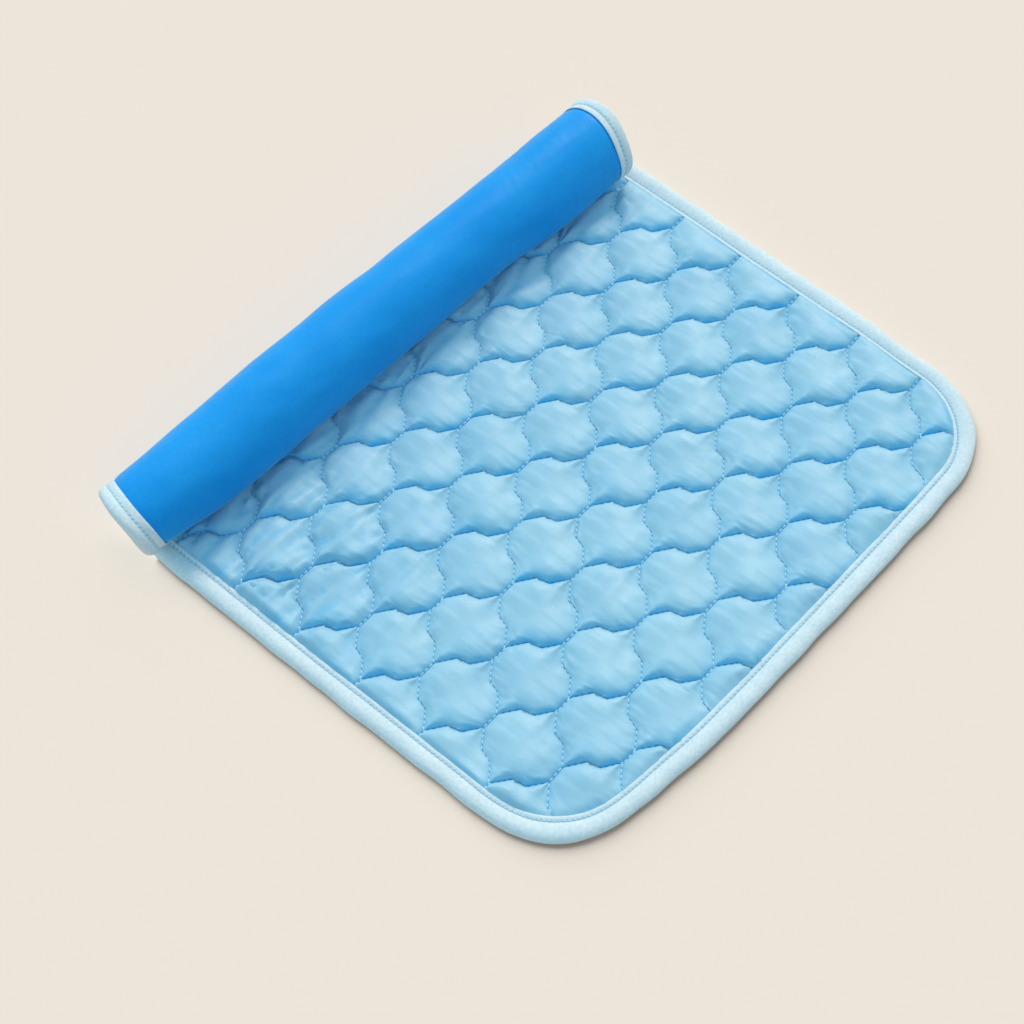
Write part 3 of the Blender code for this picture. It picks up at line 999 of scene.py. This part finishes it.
def half_outline(side, front_radius, spacing):
    """One side's stations as (u, y, inward u, inward y), from the rolled end's middle to the front's."""
    corner_u = BACK + ROLLED_CORNER_RADIUS
    half_end, half_front = HALF_WIDTH - ROLLED_CORNER_RADIUS, HALF_WIDTH - front_radius
    cut_u = [ROLL_START - cut for cut in CUTS]
    cos_turns = [(corner_u - u) / ROLLED_CORNER_RADIUS for u in cut_u if u < corner_u]
    turns = sorted(math.acos(min(1.0, cosine)) for cosine in cos_turns)
    stations = [(BACK, side * y, 1.0, 0.0) for y in spaced([0.0, half_end], spacing)]
    for turn in spaced([0.0] + turns + [math.pi / 2], spacing / ROLLED_CORNER_RADIUS):
        stations.append(corner_station(
            corner_u, side * half_end, ROLLED_CORNER_RADIUS, -math.cos(turn), side * math.sin(turn),
        ))
    straight = [corner_u] + sorted(u for u in cut_u if u > corner_u) + [FRONT - front_radius]
    stations += [(u, side * HALF_WIDTH, 0.0, -side) for u in spaced(straight, spacing)]
    for turn in spaced([0.0, math.pi / 2], spacing / front_radius):
        stations.append(corner_station(
            FRONT - front_radius, side * half_front, front_radius, math.sin(turn), side * math.cos(turn),
        ))
    count = round(half_front / spacing)
    stations += [(FRONT, side * half_front * (1 - i / count), -1.0, 0.0) for i in range(count)]
    return stations


def outline_stations(spacing):
    """Stations round the whole outline as (u, y, inward u, inward y, run), from the rolled end's middle
    along the left side, across the front and back along the right side."""
    left = half_outline(-1, FRONT_LEFT_RADIUS, spacing)
    right = half_outline(1, FRONT_RIGHT_RADIUS, spacing)
    around = np.array(left + [(FRONT, 0.0, -1.0, 0.0)] + right[:0:-1])
    steps = np.hypot(*np.diff(around[:, :2], axis=0).T)
    run = np.concatenate([[0.0], np.cumsum(steps)])
    return np.concatenate([around, run[:, None]], axis=1)


STATIONS = outline_stations(spacing=1.3 * MM)


def section_at(stations):
    """The tape's section at each station, swollen unevenly between its stitches."""
    share = rolled_share(stations[:, 0])[:, None, None]
    sections = FLAT_SECTION[None] * (1 - share) + ROLLED_SECTION[None] * share
    swell = 1 + 0.07 * RIB_SWELL(stations[:, 0], stations[:, 1])
    height = sections[..., 1]
    swollen = SWELL_ABOVE + (height - SWELL_ABOVE) * swell[:, None]
    sections[..., 1] = np.where(height > SWELL_ABOVE, swollen, height)
    sway = SWAY_RISE * EDGE_SWAY(stations[:, 0], stations[:, 1])
    fade = np.clip(1 - sections[..., 0] / SWAY_DEPTH, 0, 1)
    sections[..., 0] = sections[..., 0] + sway[:, None] * fade
    return sections


def binding():
    sections = section_at(STATIONS)
    count, ring = sections.shape[:2]
    inset, h = sections[..., 0], sections[..., 1]
    u = STATIONS[:, 0:1] + inset * STATIONS[:, 2:3]
    y = STATIONS[:, 1:2] + inset * STATIONS[:, 3:4]
    tape = np.zeros((count, ring, 3))
    tape[..., 0] = STATIONS[:, 4:5]
    tape[..., 1] = SECTION_RUN
    index = np.arange(count * ring).reshape(count, ring)
    following = np.roll(index, -1, axis=0)
    beside = np.roll(index, -1, axis=1)
    diagonal = np.roll(following, -1, axis=1)
    faces = np.stack([index, following, diagonal, beside], -1).reshape(-1, 4)
    return split_layer(
        "binding_tape", as_points(u, y, h), faces, {"tape": tape.reshape(-1, 3)},
        TAPE, binding_nodes,
    )


def seam_stitches(inset_line, height_line, upward):
    """Stitches round the whole binding, at this inset and height at each station."""
    run = STATIONS[:, 4]
    u = STATIONS[:, 0] + inset_line * STATIONS[:, 2]
    y = STATIONS[:, 1] + inset_line * STATIONS[:, 3]
    wanted = np.arange(BINDING_PITCH / 2, run[-1], BINDING_PITCH)

    def on_line(at):
        return np.stack([np.interp(at, run, u), np.interp(at, run, y)], -1)

    heading = on_line(wanted + MM) - on_line(wanted - MM)
    heading /= np.maximum(np.linalg.norm(heading, axis=1, keepdims=True), 1e-9)
    height = np.interp(wanted, run, height_line) + upward * BINDING_STITCH_LIFT
    return stitches(on_line(wanted), heading, height, BINDING_STITCH_LENGTH, upward)


def binding_stitches():
    sections = section_at(STATIONS)
    top_inset = np.full(len(STATIONS), TOP_STITCH_INSET)
    top_points, top_faces = seam_stitches(top_inset, sections[:, TOP_STITCH_AT, 1], 1.0)
    bottom_inset, bottom_height = sections[:, BOTTOM_STITCH_AT].T
    bottom_points, bottom_faces = seam_stitches(bottom_inset, bottom_height, -1.0)
    points = np.concatenate([top_points, bottom_points])
    faces = np.concatenate([top_faces, bottom_faces + len(top_points)])
    return split_layer("binding_stitches", points, faces, {}, THREAD, normals=False)


# ---- backing and wadding ----

SATIN_SWELL_RISE = 0.22 * MM
SATIN_WRINKLE_RISE = 0.10 * MM
SATIN_STREAK_RISE = 0.07 * MM
SATIN_SWELL = noise_field(31, 14, 35 * MM, 120 * MM)
SATIN_WRINKLE = noise_field(32, 18, 9 * MM, 26 * MM)
SATIN_STREAK = noise_field(33, 18, 5.5 * MM, 15 * MM)


def long_rows(inset, spacing):
    """Places along the pad, with one on every cut."""
    stops = sorted([BACK + inset] + [ROLL_START - cut for cut in CUTS] + [FRONT - inset])
    return np.array(spaced(stops, spacing) + [FRONT - inset])


def sheet_grid(inset, along, across):
    """A grid that fills the outline at this inset: a spacing along it and a count across it."""
    u = long_rows(inset, along)
    shares = np.linspace(-1, 1, across + 1)
    left, right = side_reach(u, -1, inset), side_reach(u, 1, inset)
    reach = np.where(shares[None, :] < 0, left[:, None], right[:, None])
    return np.broadcast_to(u[:, None], reach.shape).copy(), reach * shares[None, :]


def backing():
    """The satin, which comes down from under the binding's lip to lie flush with it, and swells and
    wrinkles on the roll."""
    u, y = sheet_grid(CLOTH_INSET, along=1.6 * MM, across=210)
    edge = edge_distance(u, y)
    rolled = rolled_share(u)
    lip = 13.4 * MM - 0.7 * MM * rolled
    under = 0.85 * MM - 0.05 * MM * rolled
    inside = 0.35 * MM - 0.30 * MM * rolled
    height = under + (inside - under) * ramp(edge - lip, 0, 2.5)
    inner = ramp(edge - lip, 0, 10) * rolled
    swell, wrinkle = SATIN_SWELL(u, y), SATIN_WRINKLE(u, y * 0.6)
    height -= inner * (SATIN_SWELL_RISE * swell + SATIN_WRINKLE_RISE * wrinkle)
    by_end = ramp(y, 70, 80) + 0.35 * ramp(-y, 110, 60)
    height -= inner * by_end * SATIN_STREAK_RISE * SATIN_STREAK(0.28 * u, y - 0.30 * u)
    faces = grid_faces(*u.shape)[:, ::-1]
    developed = as_points(u, y, height)
    return split_layer("satin_back", developed, faces, {}, SATIN, nodes_of("backing"))


def wadding():
    u, y = sheet_grid(WADDING_INSET, along=4 * MM, across=96)
    shape = u.shape
    edge = edge_distance(u, y)
    distance = seam_distance(u, y)
    held = np.minimum(distance, np.maximum(edge - HELD_EDGE, 0))
    low = np.full(shape, 1.2 * MM)
    high = 1.8 * MM + 2.0 * MM * ramp(held, 3, 10)
    index = np.arange(u.size).reshape(shape)
    top = grid_faces(*shape)
    bottom = top[:, ::-1] + u.size
    rim = np.concatenate([index[0, :], index[1:, -1], index[-1, -2::-1], index[-2:0:-1, 0]])
    following = np.roll(rim, -1)
    walls = np.stack([rim, following, following + u.size, rim + u.size], -1)
    faces = np.concatenate([top, bottom, walls])
    developed = np.concatenate([as_points(u, y, high), as_points(u, y, low)])
    return split_layer("quilt_wadding", developed, faces, {}, WADDING, nodes_of("wadding"))


# ---- build ----

COVER = top_cover()
QUILTING = quilting_stitches()
BINDING = binding()
BINDING_STITCHES = binding_stitches()
BACKING = backing()
FILLING = wadding()


# ---- floor, light and camera ----

def floor():
    mesh = bpy.data.meshes.new("floor")
    reach = 6.0
    corners = [(-reach, -reach, 0), (reach, -reach, 0), (reach, reach, 0), (-reach, reach, 0)]
    mesh.from_pydata(corners, [], [(0, 1, 2, 3)])
    obj = bpy.data.objects.new("floor", mesh)
    STAGE.objects.link(obj)
    material, shader = new_material("floor", (0.80, 0.735, 0.665), roughness=0.9, specular=0.1)
    mesh.materials.append(material)


def sun(name, direction, angle, strength, colour, lit):
    """A soft distant light shining from this direction on one collection."""
    data = bpy.data.lights.new(name, "SUN")
    data.angle = math.radians(angle)
    data.energy = strength
    data.color = colour
    obj = bpy.data.objects.new(name, data)
    obj.rotation_mode = "QUATERNION"
    obj.rotation_quaternion = Vector(direction).to_track_quat("Z", "Y")
    obj.light_linking.receiver_collection = lit
    bpy.context.scene.collection.objects.link(obj)
    return obj


def light_scene():
    """A dim dome, a warm key from behind the roll and a wide cyan fill for the pad, and a soft light for
    the floor. Only the flat part shades the fill and the floor light."""
    world = bpy.data.worlds.new("studio")
    bpy.context.scene.world = world
    world.use_nodes = True
    background = world.node_tree.nodes["Background"]
    background.inputs["Color"].default_value = (1.0, 0.97, 0.95, 1)
    background.inputs["Strength"].default_value = 0.33
    sun("key", (-0.44, 0.89, 0.80), angle=18, strength=2.55, colour=(1.0, 0.74, 0.58), lit=PAD)
    fill = sun(
        "fill", (-0.35, 0.1, 0.93), angle=160, strength=1.95, colour=(0.27, 0.78, 1.0), lit=PAD
    )
    floor_light = sun(
        "floor_light", (-0.62, 0.30, 0.62), angle=70, strength=3.55, colour=(0.965, 0.98, 0.96),
        lit=STAGE,
    )
    for light in (fill, floor_light):
        light.light_linking.blocker_collection = FLAT_PART


def camera():
    data = bpy.data.cameras.new("camera")
    data.lens = 68.555
    data.sensor_width = 36.0
    data.clip_start = 0.05
    data.clip_end = 20
    obj = bpy.data.objects.new("camera", data)
    right = (0.73981731, 0.67243616, -0.02235981)
    up = (-0.55061039, 0.62421371, 0.55424313)
    back = (0.38665042, -0.39772712, 0.83205444)
    location = (0.42737, -0.49108, 0.93353)
    rows = [(right[i], up[i], back[i], location[i]) for i in range(3)]
    obj.matrix_world = Matrix(rows + [(0, 0, 0, 1)])
    bpy.context.scene.collection.objects.link(obj)
    bpy.context.scene.camera = obj


floor()
light_scene()
camera()
bpy.context.scene.view_settings.view_transform = "Standard"
